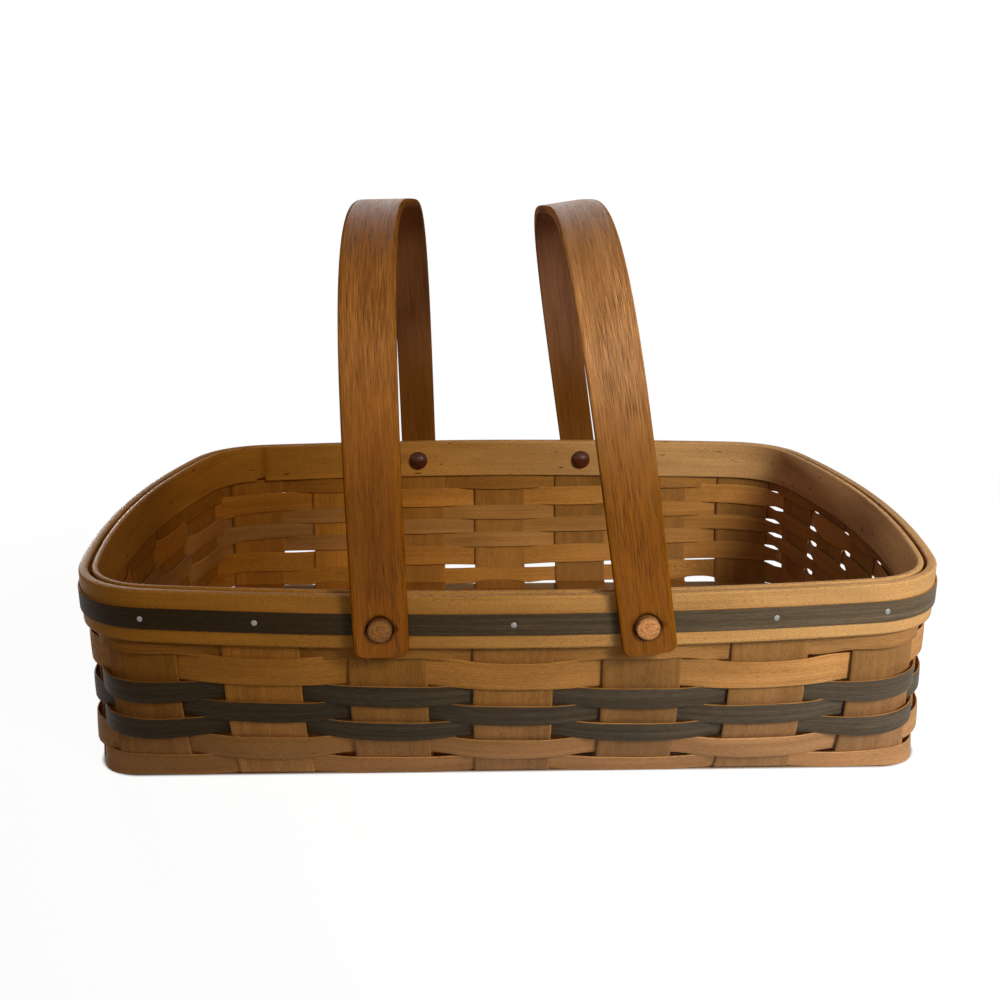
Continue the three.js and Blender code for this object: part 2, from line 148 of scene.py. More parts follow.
def quarter_outline(half_length, half_width, end_bow, side_bow, reach):
    """A quarter of a bowed rectangle: its points, the share of the length at each, and the length."""
    def side_at(x):
        return half_width - side_bow * (x / half_length) ** 2

    def end_at(y):
        return half_length - end_bow * (y / half_width) ** 2

    corner_x = half_length
    for _ in range(20):
        corner_x = end_at(side_at(corner_x))
    side_x = corner_x - reach
    side_y = side_at(side_x)
    end_y = side_at(corner_x) - reach
    end_x = end_at(end_y)
    side_slope = 2 * side_bow * side_x / half_length ** 2
    end_slope = 2 * end_bow * end_y / half_width ** 2
    run = (end_x - side_x - end_slope * (side_y - end_y)) / (1 - side_slope * end_slope)
    curves = [
        [(0, -half_width), (side_x / 2, -half_width), (side_x, -side_y)],
        [(side_x, -side_y), (side_x + run, run * side_slope - side_y), (end_x, -end_y)],
        [(end_x, -end_y), (half_length, -end_y / 2), (half_length, 0)],
    ]
    t = np.linspace(0, 1, 201)[:, None]
    points = [np.zeros((0, 2))]
    for start, middle, end in np.array(curves, float):
        curve = (1 - t) ** 2 * start + 2 * t * (1 - t) * middle + t ** 2 * end
        points.append(curve if len(points) == 1 else curve[1:])
    points = np.vstack(points)
    lengths = path_lengths(points)
    return points, lengths / lengths[-1], lengths[-1]


BASE_OUTLINE = quarter_outline(BASE_LENGTH / 2, BASE_WIDTH / 2, 0, 0, BASE_CORNER_REACH)
RIM_OUTLINE = quarter_outline(
    RIM_LENGTH / 2 - OUTER_FACE, RIM_WIDTH / 2 - OUTER_FACE,
    RIM_END_BOW, RIM_SIDE_BOW, RIM_CORNER_REACH)
QUARTER_LENGTH = BASE_OUTLINE[2]


def outline_point(outline, turn):
    points, shares, _ = outline
    wrapped = np.mod(turn, 4)
    index = np.floor(wrapped).astype(int)
    along = wrapped - index
    share = np.where(index % 2 == 0, along, 1 - along)
    x = np.interp(share, shares, points[:, 0]) * np.where(index < 2, 1, -1)
    y = np.interp(share, shares, points[:, 1]) * np.where((index == 0) | (index == 3), 1, -1)
    return np.stack([x, y], -1)


def wall_point(turn, height):
    turn, height = np.broadcast_arrays(np.asarray(turn, float), np.asarray(height, float))
    below = np.clip(1 - height / UPRIGHT_FROM, 0, None)[..., None] ** 2
    spot = outline_point(RIM_OUTLINE, turn) * (1 - below) + outline_point(BASE_OUTLINE, turn) * below
    return np.concatenate([spot, height[..., None]], -1)


def unit(vectors):
    return vectors / np.linalg.norm(vectors, axis=-1, keepdims=True)


def wall_normal(turn, height):
    step = 2e-3
    along = wall_point(turn + step, height) - wall_point(turn - step, height)
    rise = wall_point(turn, height + step) - wall_point(turn, height - step)
    return unit(np.cross(along, rise))


def wall_offset(turn, height, offset):
    return wall_point(turn, height) + wall_normal(turn, height) * np.asarray(offset)[..., None]


# Columns: the turn of every splint in the wall, in order round the basket from the front left.
# In front some splints stand a little off their even places.
FRONT_DRIFTS = np.array([3, 2.7, 1.4, 0, 0, 0.3, 0])
CROSS_PITCH = (BASE_LENGTH / 2 - CROSS_CORNER_MARGIN - SPLINT_WIDTH / 2) / (CROSS_COUNT // 2)
LONG_PITCH = (BASE_WIDTH / 2 - LONG_CORNER_MARGIN - SPLINT_WIDTH / 2) / (LONG_COUNT // 2)
CROSS_SHIFTS = (np.arange(CROSS_COUNT) - CROSS_COUNT // 2) * CROSS_PITCH / QUARTER_LENGTH
LONG_SHIFTS = (np.arange(LONG_COUNT) - LONG_COUNT // 2) * LONG_PITCH / QUARTER_LENGTH
COLUMNS = np.concatenate([
    CROSS_SHIFTS + FRONT_DRIFTS / QUARTER_LENGTH, 1 + LONG_SHIFTS, 2 + CROSS_SHIFTS, 3 + LONG_SHIFTS])
PEG_PLACES = [CROSS_COUNT // 2 - 1, CROSS_COUNT // 2 + 1]
PIVOT_X = wall_point(CROSS_SHIFTS[PEG_PLACES[1]], PIVOT_HEIGHT)[0]


# Handmade unevenness
def wobble(shares, size, slowest, fastest):
    """A smooth seeded wave over shares 0 to 1 that meets itself at the ends."""
    waves = np.zeros_like(shares)
    for count in range(slowest, fastest + 1):
        waves += rng.normal() * np.sin(2 * np.pi * (count * shares + rng.random()))
    return size * waves / math.sqrt(fastest - slowest + 1)


# Strip sections: a ring of points round a rectangle with rounded edges
class Ring:
    """across runs along the width and out along the thickness, face is 1 outside and 0 inside."""

    def __init__(self, width, thickness, edge_round, face_points, edge_points=3):
        radius = min(edge_round, thickness / 2 * 0.9)
        flat = np.concatenate([[-1, -0.985], np.linspace(-0.9, 0.9, face_points), [0.985, 1]])
        half = width / 2 - radius
        angles = np.linspace(0, np.pi / 2, edge_points + 1)
        turned_out = thickness / 2 - radius + radius * np.cos(angles[1:])
        turned_across = radius * np.sin(angles[1:])
        edge_out = np.concatenate([turned_out, -turned_out[::-1]])
        edge_across = np.concatenate([turned_across, turned_across[::-1]])
        self.across = np.concatenate([
            flat * half, half + edge_across, flat[::-1] * half, -half - edge_across])
        self.out = np.concatenate([
            np.full(len(flat), thickness / 2), edge_out,
            np.full(len(flat), -thickness / 2), -edge_out])
        side = (edge_out / thickness) + 0.5
        self.face = np.concatenate([
            np.ones(len(flat)), side, np.zeros(len(flat)), 1 - side])
        self.edge = self.across / (width / 2)


# Meshes
def enclosed_volume(points, faces):
    """Six times the volume inside closed faces, negative where they face inward."""
    fans = [(face[0], face[k], face[k + 1]) for face in faces for k in range(1, len(face) - 1)]
    a, b, c = points[np.array(fans)].transpose(1, 0, 2)
    return np.einsum("ij,ij->", a, np.cross(b, c))


def loft_faces(rows, count, closed):
    """Faces between rows of ring points, as the row and the side of every corner."""
    sides = list(range(count))
    faces = []
    for row in range(rows if closed else rows - 1):
        for side in sides:
            after = (side + 1) % count
            faces.append(([row, row, row + 1, row + 1], [side, after, after, side]))
    if not closed:
        faces += [([0] * count, sides[::-1]), ([rows - 1] * count, sides)]
    return faces


def loft(name, points, along, ring, tone, closed):
    """A solid from rows of ring points; grain is along, across, depth and mask is face, edge, tone."""
    rows, count = points.shape[:2]
    corners = loft_faces(rows, count, closed)
    flat = points.reshape(-1, 3)
    faces = [[r % rows * count + s for r, s in zip(*face)] for face in corners]
    if enclosed_volume(flat, faces) < 0:
        corners = [(r[::-1], s[::-1]) for r, s in corners]
        faces = [face[::-1] for face in faces]
    mesh = bpy.data.meshes.new(name)
    mesh.from_pydata((flat * MILLIMETRE).tolist(), [], faces)
    row = np.concatenate([r for r, _ in corners])
    side = np.concatenate([s for _, s in corners])
    depth = ring.out[side] + 40 * rng.random()
    grain = np.stack([along[row], ring.across[side], depth], -1)
    mask = np.stack([ring.face[side], ring.edge[side], np.full(len(depth), tone)], -1)
    for key, values in (("grain", grain), ("mask", mask)):
        mesh.attributes.new(key, "FLOAT_VECTOR", "CORNER").data.foreach_set("vector", values.ravel())
    mesh.shade_smooth()
    return add_object(name, mesh)


def add_object(name, mesh):
    mesh.validate()
    piece = bpy.data.objects.new(name, mesh)
    bpy.context.scene.collection.objects.link(piece)
    return piece


def dress(piece, node, body, material):
    piece.data.materials.append(material)
    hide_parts(node)
    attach(piece, body)


# Splints: down one wall, across the bottom and up the opposite wall
def weave_heights(places, crossings, half_width):
    """Height of a splint's middle on the bottom: level at each crossing, smooth in between."""
    knots, values = [], []
    for centre, above in crossings:
        knots += [centre - half_width, centre + half_width]
        values += [LAY_STEP if above else -LAY_STEP] * 2
    knots, values = np.array(knots), np.array(values)
    slot = np.clip(np.searchsorted(knots, places) - 1, 0, len(knots) - 2)
    share = np.clip((places - knots[slot]) / (knots[slot + 1] - knots[slot]), 0, 1)
    smooth = share * share * (3 - 2 * share)
    return BOTTOM_MIDDLE + values[slot] + (values[slot + 1] - values[slot]) * smooth


def splint_side(ring, turn, way, drift):
    """Sections from the top of a wall down and round the bend to the bottom."""
    heights = np.linspace(SPLINT_TOP, BEND_TOP, 34)
    turns = turn + way * (ring.across + drift) / QUARTER_LENGTH
    wall = [wall_offset(turns, np.full_like(turns, height), ring.out) for height in heights]
    out = wall_normal(turns, np.full_like(turns, BEND_TOP))
    level = unit(out * [1, 1, 0])
    foot = wall_point(turns, np.full_like(turns, BEND_TOP))
    bend = []
    for angle in np.linspace(0, np.pi / 2, 6)[1:]:
        normal = unit(out * math.cos(angle) - [0, 0, math.sin(angle)])
        inward = level * BEND_RADIUS * (math.cos(angle) - 1)
        point = foot + inward - [0, 0, BEND_RADIUS * math.sin(angle)]
        bend.append(point + normal * ring.out[:, None])
    return wall + bend


def splint(node, start_turn, end_turn, axis, crossings, tone, start_drift=0.0):
    ring = Ring(SPLINT_WIDTH + rng.uniform(-0.8, 0.4), SPLINT_THICKNESS, 0.35, 5, 2)
    drift = rng.uniform(-0.5, 0.5)
    start = splint_side(ring, start_turn, 1, drift + start_drift)
    end = splint_side(ring, end_turn, -1, drift)
    first, last = start[-1].mean(0)[axis], end[-1].mean(0)[axis]
    inset = 1.5 * np.sign(last - first)
    places = np.linspace(first + inset, last - inset, 90)
    heights = weave_heights(places, crossings, SPLINT_WIDTH / 2)
    ease = np.clip(np.minimum(np.abs(places - first), np.abs(places - last)) / 6, 0, 1)
    heights = BOTTOM_MIDDLE + (heights - BOTTOM_MIDDLE) * ease
    floor = []
    for place, height in zip(places, heights):
        share = (place - first) / (last - first)
        section = start[-1] * (1 - share) + end[-1] * share
        section[:, axis] = place
        section[:, 2] = height - ring.out
        floor.append(section)
    points = np.array(start + floor + end[::-1])
    return loft(f"{node}_wood", points, path_lengths(points.mean(1)), ring, tone, False)


CROSS_TONES = [0.5, 0.95, 0.42, 0.38, 0.12, 0.3, 0.18]


def make_splints(material):
    cross_places = [wall_point(shift, BEND_TOP)[0] for shift in CROSS_SHIFTS]
    long_places = [wall_point(1 + shift, BEND_TOP)[1] for shift in LONG_SHIFTS]
    for index, shift in enumerate(CROSS_SHIFTS):
        node = f"cross_splint_{index + 1}"
        crossings = [(place, (index + other) % 2 == 0) for other, place in enumerate(long_places)]
        piece = splint(node, shift, 2 - shift, 1, crossings, CROSS_TONES[index], FRONT_DRIFTS[index])
        dress(piece, node, "basket", material)
    for index, shift in enumerate(LONG_SHIFTS):
        node = f"long_splint_{index + 1}"
        crossings = [(place, (index + other) % 2 == 1) for other, place in enumerate(cross_places)]
        piece = splint(node, 3 - shift, 1 + shift, 0, crossings, rng.uniform(0.35, 0.65))
        dress(piece, node, "basket", material)


# Weavers: over one splint and under the next
STEPS_BETWEEN_COLUMNS = 14
FIRST_COLUMN = 13
WAVE_FLATNESS = 1.15
CORNER_LIFT = 2.2
CORNER_TURN = 0.6
CORNER_REACH = 0.22

# Where rows stand higher or lower than an even weave
SAGGED_ROW = 5
SAG_TURN = 2.446
SAG_REACH = 0.15
SAG_DROP = 1.8
FRONT_DROP = 0.8
FRONT_DROP_REACH = 0.8
LEFT_RISE = 2.8
LEFT_RISE_TURN = -0.3
LEFT_RISE_REACH = 0.62
RIGHT_DROP = 1.5
RIGHT_DROP_TURN = 0.4
RIGHT_DROP_REACH = 0.3
BACK_RISE = 4.4
BACK_RISE_TURNS = (0.5, 1.95)
BACK_RISE_SOFT = 0.45

# Where strips are narrower or wider than an even weave
FRONT_TURNS = (-0.75, 0.75)
FRONT_SOFT = 0.15
TOP_ROW_RISE = 3
TOP_ROW_FOLLOW = 0.6
TOP_LAP = 1
SECOND_ROW_NARROWING = 0.65
LOOSE_TURNS = (0.68, 1.47)
LOOSE_NARROWING = 1.7
TIGHT_TURNS = (2.5, 3.42)
TIGHT_SOFT = 0.1
TIGHT_LAP = 1.5
SEALED_TURNS = (2.28, 3.75)
SEAL = 1.3
CORNER_SEAL_TURNS = (1.15, 1.7)
CORNER_SEAL = 1.7
FOOT_TUCK = 1.95
OPEN_FOOT_TURNS = (1.48, 1.95)
HIGH_FOOT_TURN = 1.55
HIGH_FOOT_REACH = 0.09
HIGH_FOOT_RISE = 2.4


def near_turn(turns, centre, reach):
    """1 at a turn and smoothly 0 beyond the reach on both sides."""
    away = np.abs(np.mod(turns - centre + 2, 4) - 2) / reach
    return np.clip(1 - away ** 2, 0, 1) ** 2


def between_turns(turns, span, soft=0.05):
    """1 between two turns and 0 outside them."""
    past = np.mod(turns - span[0], 4)
    return np.clip(past / soft, 0, 1) * np.clip((span[1] - span[0] - past) / soft, 0, 1)


def hoop_turns():
    """Turns once round the wall from the back right, with each one's column and share of the way on."""
    columns = np.concatenate([COLUMNS[FIRST_COLUMN:], COLUMNS[:FIRST_COLUMN] + 4])
    ends = np.append(columns[1:], columns[0] + 4)
    share = np.tile(np.arange(STEPS_BETWEEN_COLUMNS) / STEPS_BETWEEN_COLUMNS, len(columns))
    start, end = (np.repeat(a, STEPS_BETWEEN_COLUMNS) for a in (columns, ends))
    index = FIRST_COLUMN + np.repeat(np.arange(len(columns)), STEPS_BETWEEN_COLUMNS)
    return start + share * (end - start), share, index


def back_rise(turns):
    """How much higher rows stand at the right end and the back right."""
    return BACK_RISE * between_turns(turns, BACK_RISE_TURNS, BACK_RISE_SOFT)


def front_tilt(turns):
    """How much higher rows stand at the front left, and lower at the front right."""
    rise = LEFT_RISE * near_turn(turns, LEFT_RISE_TURN, LEFT_RISE_REACH)
    return rise - RIGHT_DROP * near_turn(turns, RIGHT_DROP_TURN, RIGHT_DROP_REACH)


def row_drift(row, turns):
    """The top and bottom rows are even, the rows between them stray, and row 6 has also slipped."""
    if row == 0 or row > SAGGED_ROW:
        return np.zeros_like(turns)
    drift = back_rise(turns) + front_tilt(turns)
    if row == SAGGED_ROW:
        slip = SAG_DROP * near_turn(turns, SAG_TURN, SAG_REACH)
        drift -= slip + FRONT_DROP * near_turn(turns, 0, FRONT_DROP_REACH)
    return drift


def pass_lift(spots, turns, wave):
    """How far each pass stands off the wall: more where it goes outside round a corner."""
    lift = WEAVER_LIFT * (1 + wobble(spots, 0.04, 5, 14))
    corners = (CORNER_TURN, 2 - CORNER_TURN, 2 + CORNER_TURN, 4 - CORNER_TURN)
    bulge = sum(near_turn(turns, corner, CORNER_REACH) for corner in corners)
    return lift + CORNER_LIFT * bulge * np.clip(wave, 0, 1)


def weaver_reach(row, heights, most):
    """Offset of a pass: the top row is held by the bands and the bottom row is tight."""
    if row == 0:
        free = np.clip((BAND_LOW - 1 - heights) / 8, 0, 1)
        return CLAMPED_LIFT + (most - CLAMPED_LIFT) * free
    return np.full_like(heights, most if row < len(ROW_HEIGHTS) - 1 else BOTTOM_LIFT)


def foot_tuck(swing, turn):
    """What the lowest edge gains toward the floor: nothing inside the splints and less at the slits."""
    closed = 1 - between_turns(turn, OPEN_FOOT_TURNS)
    tuck = FOOT_TUCK * closed - HIGH_FOOT_RISE * near_turn(turn, HIGH_FOOT_TURN, HIGH_FOOT_REACH)
    return tuck * np.clip((swing + 0.95) / 0.4, 0, 1) * np.clip(1.5 - swing, 0, 1)


def edge_stretch(row, ring, swing, turn):
    """What a strip's edges gain in width on a pass, and lose where it is loose or at a slit."""
    crossing = 1 - swing ** 2
    spread = EDGE_SPREAD + EDGE_TUCK * swing ** 4
    spread += TIGHT_LAP * between_turns(turn, TIGHT_TURNS, TIGHT_SOFT) * crossing
    spread -= LOOSE_NARROWING * between_turns(turn, LOOSE_TURNS) * crossing ** 4
    front = between_turns(turn, FRONT_TURNS, FRONT_SOFT)
    lifted = back_rise(turn) + max(0, front_tilt(turn))
    slit = SEAL * between_turns(turn, SEALED_TURNS) - EDGE_SPREAD
    upper, lower = spread, spread
    if row == 0:
        lower -= TOP_ROW_RISE * front * np.clip(0.25 + swing, 0, 1) + TOP_ROW_FOLLOW * lifted
    if row == 1:
        lower -= SECOND_ROW_NARROWING * front * swing ** 2
        upper = lower + TOP_LAP * front * crossing
    if row == SAGGED_ROW:
        lower += slit
    if row == SAGGED_ROW + 1:
        upper += slit + lifted + CORNER_SEAL * between_turns(turn, CORNER_SEAL_TURNS)
        lower = foot_tuck(swing, turn)
    return ring.edge * np.where(ring.edge > 0, upper, lower)


def weaver(row, tone):
    turns, share, column = hoop_turns()
    sign = np.where((column + row) % 2 == 0, 1, -1)
    wave = sign * np.tanh(WAVE_FLATNESS * np.cos(np.pi * share)) / math.tanh(WAVE_FLATNESS)
    spots = (turns - turns[0]) / 4
    ring = Ring(ROW_HEIGHTS[row], WEAVER_THICKNESS, 0.3, 4, 2)
    lift = pass_lift(spots, turns, wave)
    drift = wobble(spots, 0.1, 3, 12) + row_drift(row, turns)
    middle = ROW_LOWS[row] + ROW_HEIGHTS[row] / 2
    points = []
    for turn, swing, most, shift in zip(turns, wave, lift, drift):
        heights = middle + shift + ring.across + edge_stretch(row, ring, swing, turn)
        cupped = 0 if row == 0 else WEAVER_CUPPING * (1 - ring.edge ** 2) * swing
        offsets = weaver_reach(row, heights, most) * swing + cupped + ring.out
        points.append(wall_offset(np.full_like(heights, turn), heights, offsets))
    points = np.array(points)
    along = path_lengths(points.mean(1), True)
    return loft(f"weaver_row_{row + 1}_wood", points, along, ring, tone, True)


# Lightness of each row; row 1 is darker as painted shade under the bands
ROW_TONES = [0.4, 0.92, 0.5, 0.5, 0.5, 0.62, 0.62]


def make_weavers(natural, stained):
    for row in range(len(ROW_HEIGHTS)):
        is_stained = row in STAINED_ROWS
        piece = weaver(row, ROW_TONES[row])
        material = stained if is_stained else natural
        dress(piece, f"weaver_row_{row + 1}", "basket", material)


# Bands and trim
BAND_STEPS = 300
LAP_TURN = 2.512
LAP_STEP = 0.7
LAP_LENGTH = 70
LAP_EDGE = 0.3
NOTCH_LENGTH = 7
NOTCH_RISE = 1.6
BAND_EDGE_ROUND = 0.8
CLOSED_REACH = 0.8
CLOSED_ABOVE = 84


def band_turns(has_lap):
    """Turns once round a band: from the end of its lap, or from the back."""
    if not has_lap:
        return 2 + np.arange(BAND_STEPS) * 4 / BAND_STEPS
    near = np.array([LAP_EDGE, NOTCH_LENGTH - LAP_EDGE, NOTCH_LENGTH]) / QUARTER_LENGTH
    return LAP_TURN + np.concatenate([near, np.linspace(near[-1], 4, BAND_STEPS)[1:]])


def band(node, inner, outer, has_lap, material):
    """A hoop; above the top weaver its back comes close to the splints."""
    turns = band_turns(has_lap)
    ring = Ring(BAND_HEIGHT, outer - inner, BAND_EDGE_ROUND, 9, 3)
    heights = (BAND_LOW + RIM_HEIGHT) / 2 + ring.across
    is_back = (ring.out < 0) == (inner > 0)
    closing = (BAND_REACH - CLOSED_REACH) * np.clip((heights - CLOSED_ABOVE) / 2, 0, 1)
    toward_wall = np.where(is_back, -np.sign(inner + outer) * closing, 0)
    wave = wobble((turns - turns[0]) / 4, 0.12, 2, 9)
    points = []
    for turn, shift in zip(turns, wave):
        offset = (inner + outer) / 2 + ring.out + toward_wall
        rise = np.full_like(heights, shift)
        if has_lap:
            lap = max(0, 1 - (LAP_TURN + 4 - turn) * QUARTER_LENGTH / LAP_LENGTH)
            offset = offset - np.where(is_back, 0, LAP_STEP * lap)
            in_notch = (turn - LAP_TURN) * QUARTER_LENGTH < NOTCH_LENGTH - LAP_EDGE / 2
            rise += np.where(in_notch & (ring.edge < -0.9), NOTCH_RISE, 0)
        points.append(wall_offset(np.full_like(heights, turn), heights + rise, offset))
    points = np.array(points)
    piece = loft(f"{node}_wood", points, path_lengths(points.mean(1), True), ring, 0.5, True)
    dress(piece, node, "basket", material)


def make_bands(material):
    band("inner_band", INNER_FACE, -BAND_REACH, True, material)
    band("outer_band", BAND_REACH, OUTER_FACE, False, material)


def make_trim(material):
    gap = (PEG_RADIUS + 0.4) / RIM_OUTLINE[2]
    left, right = (CROSS_SHIFTS[place] for place in PEG_PLACES)
    strips = {
        "front_trim": (left, right),
        "right_trim": (right, 2 - right),
        "back_trim": (2 - right, 2 - left),
        "left_trim": (2 - left, left + 4),
    }
    ring = Ring(TRIM_HEIGHT, TRIM_THICKNESS, 0.45, 4, 3)
    middle = OUTER_FACE + TRIM_CLEARANCE + TRIM_THICKNESS / 2
    for node, (start, end) in strips.items():
        count = max(8, int((end - start) * RIM_OUTLINE[2] / 4))
        turns = np.linspace(start + gap, end - gap, count)
        wave = wobble(np.linspace(0, 1, count), 0.15, 1, 4)
        points = np.array([
            wall_offset(
                np.full_like(ring.out, turn), PIVOT_HEIGHT + shift + ring.across, middle + ring.out)
            for turn, shift in zip(turns, wave)])
        along = path_lengths(points.mean(1))
        piece = loft(f"{node}_wood", points, along, ring, rng.uniform(0.4, 0.6), False)
        dress(piece, node, "basket", material)


# Turned pieces: a profile of (radius, place along the axis)
def lathe(name, profile, sides):
    radii, places = np.array(profile, float).T
    angles = np.arange(sides) / sides * 2 * np.pi
    inner = slice(1, -1)
    x = radii[inner][:, None] * np.cos(angles)
    z = radii[inner][:, None] * np.sin(angles)
    y = np.repeat(places[inner][:, None], sides, 1)
    rings = np.stack([x, y, z], -1).reshape(-1, 3)
    points = np.vstack([rings, [[0, places[0], 0], [0, places[-1], 0]]])
    start, end = len(points) - 2, len(points) - 1
    count = len(radii) - 2
    faces = []
    for side in range(sides):
        after = (side + 1) % sides
        faces.append([start, side, after])
        for level in range(count - 1):
            here, there = level * sides, (level + 1) * sides
            faces.append([here + side, there + side, there + after, here + after])
        last = (count - 1) * sides
        faces.append([end, last + after, last + side])
    mesh = bpy.data.meshes.new(name)
    mesh.from_pydata((points * MILLIMETRE).tolist(), [], faces)
    mesh.shade_smooth()
    ends = np.stack([points[:, 1] > points[:, 1].mean(), points[:, 0], points[:, 2]], -1)
    mesh.attributes.new("turned", "FLOAT_VECTOR", "POINT").data.foreach_set("vector", ends.ravel())
    return add_object(name, mesh)


def tack_columns():
    """Turns of the tacks; in the corner splints of the long sides they stand nearer the middle."""
    fronts = [place for place in range(CROSS_COUNT) if place not in PEG_PLACES]
    ends = range(0, LONG_COUNT, 2)
    inset = np.zeros(CROSS_COUNT)
    inset[0] = CORNER_TACK_INSET / QUARTER_LENGTH
    inset[-1] = -inset[0]
    turns = []
    for side in range(4):
        if side % 2 == 0:
            drift = FRONT_DRIFTS / QUARTER_LENGTH if side == 0 else np.zeros(CROSS_COUNT)
            turns += [side + CROSS_SHIFTS[place] + inset[place] + drift[place] for place in fronts]
        else:
            turns += [side + LONG_SHIFTS[place] for place in ends]
    return turns


def make_tacks(material):
    dome = [(TACK_RADIUS * math.sin(a), TACK_DOME * math.cos(a)) for a in np.linspace(0, np.pi / 2, 6)]
    profile = dome + [(TACK_RADIUS * 0.4, -0.05), (TACK_RADIUS * 0.4, -TACK_DEPTH), (0, -TACK_DEPTH)]
    for index, turn in enumerate(tack_columns()):
        node = f"tack_{index + 1}"
        piece = lathe(f"{node}_steel", profile, 20)
        normal = Vector(wall_normal(turn, PIVOT_HEIGHT))
        place = Vector(wall_offset(turn, PIVOT_HEIGHT, TRIM_FACE + 0.1)) * MILLIMETRE
        spin = Vector((0, 1, 0)).rotation_difference(normal).to_matrix().to_4x4()
        piece.data.transform(Matrix.Translation(place) @ spin)
        dress(piece, node, "basket", material)


# Handles and pegs, made round the pivot line and then leaned and moved into place
def handle_matrix(side):
    way = {"left": -1, "right": 1}[side]
    lean = Matrix.Rotation(math.radians(LEAN_DEGREES[side]), 4, "Y")
    return Matrix.Translation(Vector((way * PIVOT_X, 0, PIVOT_HEIGHT)) * MILLIMETRE) @ lean


def arch_line(half_span):
    """The outer line of the arch in (y, z), from one foot over the top to the other, evenly spaced."""
    share = np.linspace(0, 1, 400)
    angle = np.pi / 2 * share ** 2.2
    power = 2 / HANDLE_SQUARENESS
    y = half_span * np.cos(angle) ** power
    z = HANDLE_HEIGHT * np.sin(angle) ** power
    y[-1] = 0
    half = np.stack([y, z], -1)
    line = np.vstack([half * [-1, 1], half[::-1][1:]])
    lengths = path_lengths(line)
    spots = np.linspace(0, lengths[-1], 150)
    return np.stack([np.interp(spots, lengths, line[:, k]) for k in (0, 1)], -1)


def tail_widths(drops):
    """Half width of the leg at each drop below the pivot line, rounded at the foot."""
    above_foot = np.clip(HANDLE_TAIL - drops, 0, HANDLE_TAIL_CORNER)
    inset = HANDLE_TAIL_CORNER - np.sqrt(
        np.clip(HANDLE_TAIL_CORNER ** 2 - (HANDLE_TAIL_CORNER - above_foot) ** 2, 0, None))
    return HANDLE_WIDTH / 2 - inset


def handle(side, half_span):
    arch = arch_line(half_span)
    tail = HANDLE_TAIL - HANDLE_TAIL_CORNER * (1 - np.cos(np.linspace(0, np.pi / 2, 9)))
    drops = np.concatenate([tail, np.linspace(HANDLE_TAIL - HANDLE_TAIL_CORNER, 0, 4)[1:-1]])
    feet = np.stack([np.full_like(drops, -half_span), -drops], -1)
    line = np.vstack([feet, arch, (feet * [-1, 1])[::-1]])
    foot_halves = tail_widths(drops)
    halves = np.concatenate([foot_halves, np.full(len(arch), HANDLE_WIDTH / 2), foot_halves[::-1]])
    tangent = unit(np.gradient(line, axis=0))
    outward = np.stack([-tangent[:, 1], tangent[:, 0]], -1)
    ring = Ring(HANDLE_WIDTH, HANDLE_THICKNESS, HANDLE_EDGE_ROUND, 5, 4)
    points = []
    for (y, z), (out_y, out_z), half in zip(line, outward, halves):
        depth = ring.out - HANDLE_THICKNESS / 2
        across = ring.across * half / (HANDLE_WIDTH / 2)
        points.append(np.stack([across, y + out_y * depth, z + out_z * depth], -1))
    points = np.array(points)
    return loft(f"{side}_handle_wood", points, path_lengths(points.mean(1)), ring, 0.5, False)


def bore(piece, half_span):
    """Drills the holes that the two pegs of a handle stand in."""
    length = 2 * half_span
    profile = [(0, -length), (PEG_HOLE_RADIUS, -length), (PEG_HOLE_RADIUS, length), (0, length)]
    drill = lathe("drill", profile, 48)
    cut = piece.modifiers.new("bore", "BOOLEAN")
    cut.operation = "DIFFERENCE"
    cut.solver = "EXACT"
    cut.object = drill
    bored = piece.evaluated_get(bpy.context.evaluated_depsgraph_get())
    cut_mesh = bpy.data.meshes.new_from_object(bored)
    piece.modifiers.clear()
    piece.data = cut_mesh
    bpy.data.objects.remove(drill)


def peg_profile(head_tip, end):
    seat = head_tip + PEG_HEAD_HEIGHT
    dome = [(PEG_HEAD_RADIUS * math.sin(a), seat - PEG_HEAD_HEIGHT * math.cos(a))
            for a in np.linspace(0, np.pi / 2, 10)]
    tip = [(PEG_RADIUS - 0.9 * (1 - math.cos(a)), end - 0.9 + 0.9 * math.sin(a))
           for a in np.linspace(0, np.pi / 2, 5)]
    return dome + [(PEG_RADIUS, seat)] + tip + [(PEG_RADIUS * 0.5, end + 0.15), (0, end + 0.2)]


def make_handles(handle_wood, peg_wood):
    low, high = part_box("left_back_peg")
    head_tip, peg_end = low.y / MILLIMETRE, high.y / MILLIMETRE
    half_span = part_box("left_handle")[1].y / MILLIMETRE
    for side in ("left", "right"):
        body = f"{side}_handle"
        place = handle_matrix(side)
        piece = handle(side, half_span)
        bore(piece, half_span)
        piece.data.transform(place)
        dress(piece, body, body, handle_wood)
        for end, flip in (("back", 0), ("front", math.pi)):
            node = f"{side}_{end}_peg"
            peg = lathe(f"{node}_wood", peg_profile(head_tip, peg_end - 0.2), 40)
            peg.data.transform(place @ Matrix.Rotation(flip, 4, "Z"))
            dress(peg, node, body, peg_wood)


